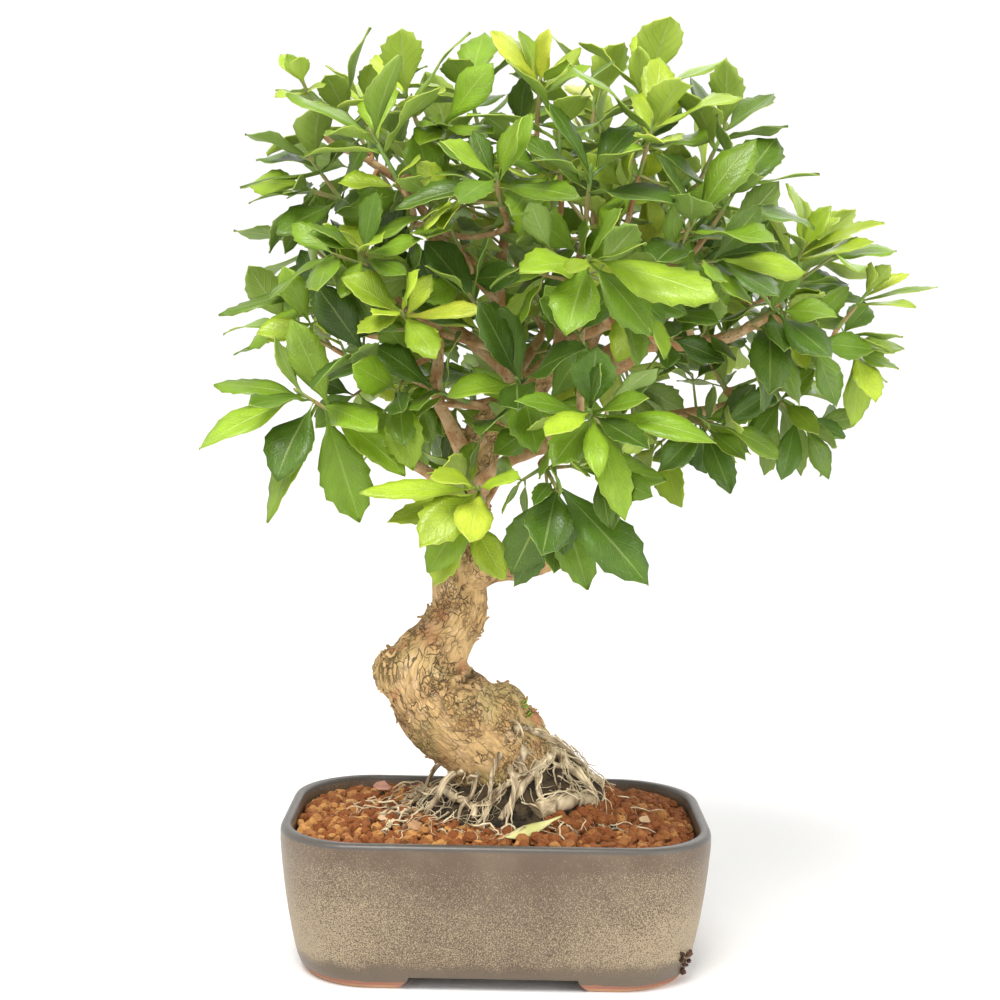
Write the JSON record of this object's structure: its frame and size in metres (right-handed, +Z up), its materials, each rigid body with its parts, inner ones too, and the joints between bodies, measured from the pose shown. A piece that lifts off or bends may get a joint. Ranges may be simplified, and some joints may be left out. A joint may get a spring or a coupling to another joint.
{
  "type": "golden dewdrop bonsai in a pot",
  "caption": "Indoor bonsai: a twisted trunk on surface roots carries limbs and leafy stems with toothed leaves, set in baked clay grains in a glazed rounded rectangular pot on corner feet.",
  "frame": {"origin": "under the middle of the plant's bounding box, on the surface that the pot stands on", "axes": "+Z up, +X to the right seen from the front, +Y away from the viewer, along the pot's short side"},
  "size_m": [0.3626, 0.3202, 0.4748],
  "materials": {
    "glazed_pot": "brown-grey glaze with fine pale speckles, unglazed feet",
    "clay_grains": "baked clay grains, matt",
    "bark": "tan fissured bark, warm brown on the limbs",
    "leaf_old": "dark green leaf, satin",
    "leaf_mid": "mid green leaf, satin",
    "leaf_young": "bright yellow-green leaf, satin"
  },
  "bodies": {
    "root": {"leafy_stem_centre_high": "leaf_mid", "leafy_stem_centre_low": "leaf_old", "leafy_stem_centre_right": "leaf_mid", "leafy_stem_centre_upper": "leaf_old", "leafy_stem_centre_whorl": "leaf_mid", "leafy_stem_far_right_shoot": "leaf_young", "leafy_stem_front": "leaf_mid", "leafy_stem_left_back_low": "leaf_old", "leafy_stem_left_crown": "leaf_mid", "leafy_stem_left_edge": "leaf_old", "leafy_stem_left_face": "leaf_old", "leafy_stem_left_high": "leaf_mid", "leafy_stem_left_inner": "leaf_old", "leafy_stem_left_low": "leaf_mid", "leafy_stem_left_mid": "leaf_old", "leafy_stem_left_rear_high": "leaf_old", "leafy_stem_left_shoot": "leaf_mid", "leafy_stem_left_top_a": "leaf_young", "leafy_stem_left_top_b": "leaf_mid", "leafy_stem_left_upper": "leaf_mid", "leafy_stem_left_whorl": "leaf_young", "leafy_stem_low_hanging": "leaf_old", "leafy_stem_low_right": "leaf_old", "leafy_stem_low_right_tip": "leaf_old", "leafy_stem_low_rosette": "leaf_young", "leafy_stem_rear_a": "leaf_old", "leafy_stem_rear_b": "leaf_mid", "leafy_stem_rear_c": "leaf_old", "leafy_stem_rear_d": "leaf_young", "leafy_stem_rear_left_a": "leaf_mid", "leafy_stem_rear_left_b": "leaf_old", "leafy_stem_rear_left_c": "leaf_mid", "leafy_stem_rear_low": "leaf_old", "leafy_stem_rear_low_left": "leaf_old", "leafy_stem_rear_right_a": "leaf_mid", "leafy_stem_rear_right_b": "leaf_mid", "leafy_stem_rear_right_c": "leaf_old", "leafy_stem_rear_right_d": "leaf_young", "leafy_stem_right_centre": "leaf_old", "leafy_stem_right_deep": "leaf_old", "leafy_stem_right_front": "leaf_old", "leafy_stem_right_hanging": "leaf_young", "leafy_stem_right_inner": "leaf_old", "leafy_stem_right_low_back": "leaf_mid", "leafy_stem_right_shoot": "leaf_young", "leafy_stem_right_shoulder": "leaf_mid", "leafy_stem_right_top_a": "leaf_young", "leafy_stem_right_top_b": "leaf_young", "leafy_stem_top_left": "leaf_mid", "leafy_stem_top_left_shoot": "leaf_young", "leafy_stem_top_middle": "leaf_young", "leafy_stem_top_shoot": "leaf_young", "pot": "glazed_pot", "soil": "clay_grains", "tree": "bark"}
  },
  "joints": []
}
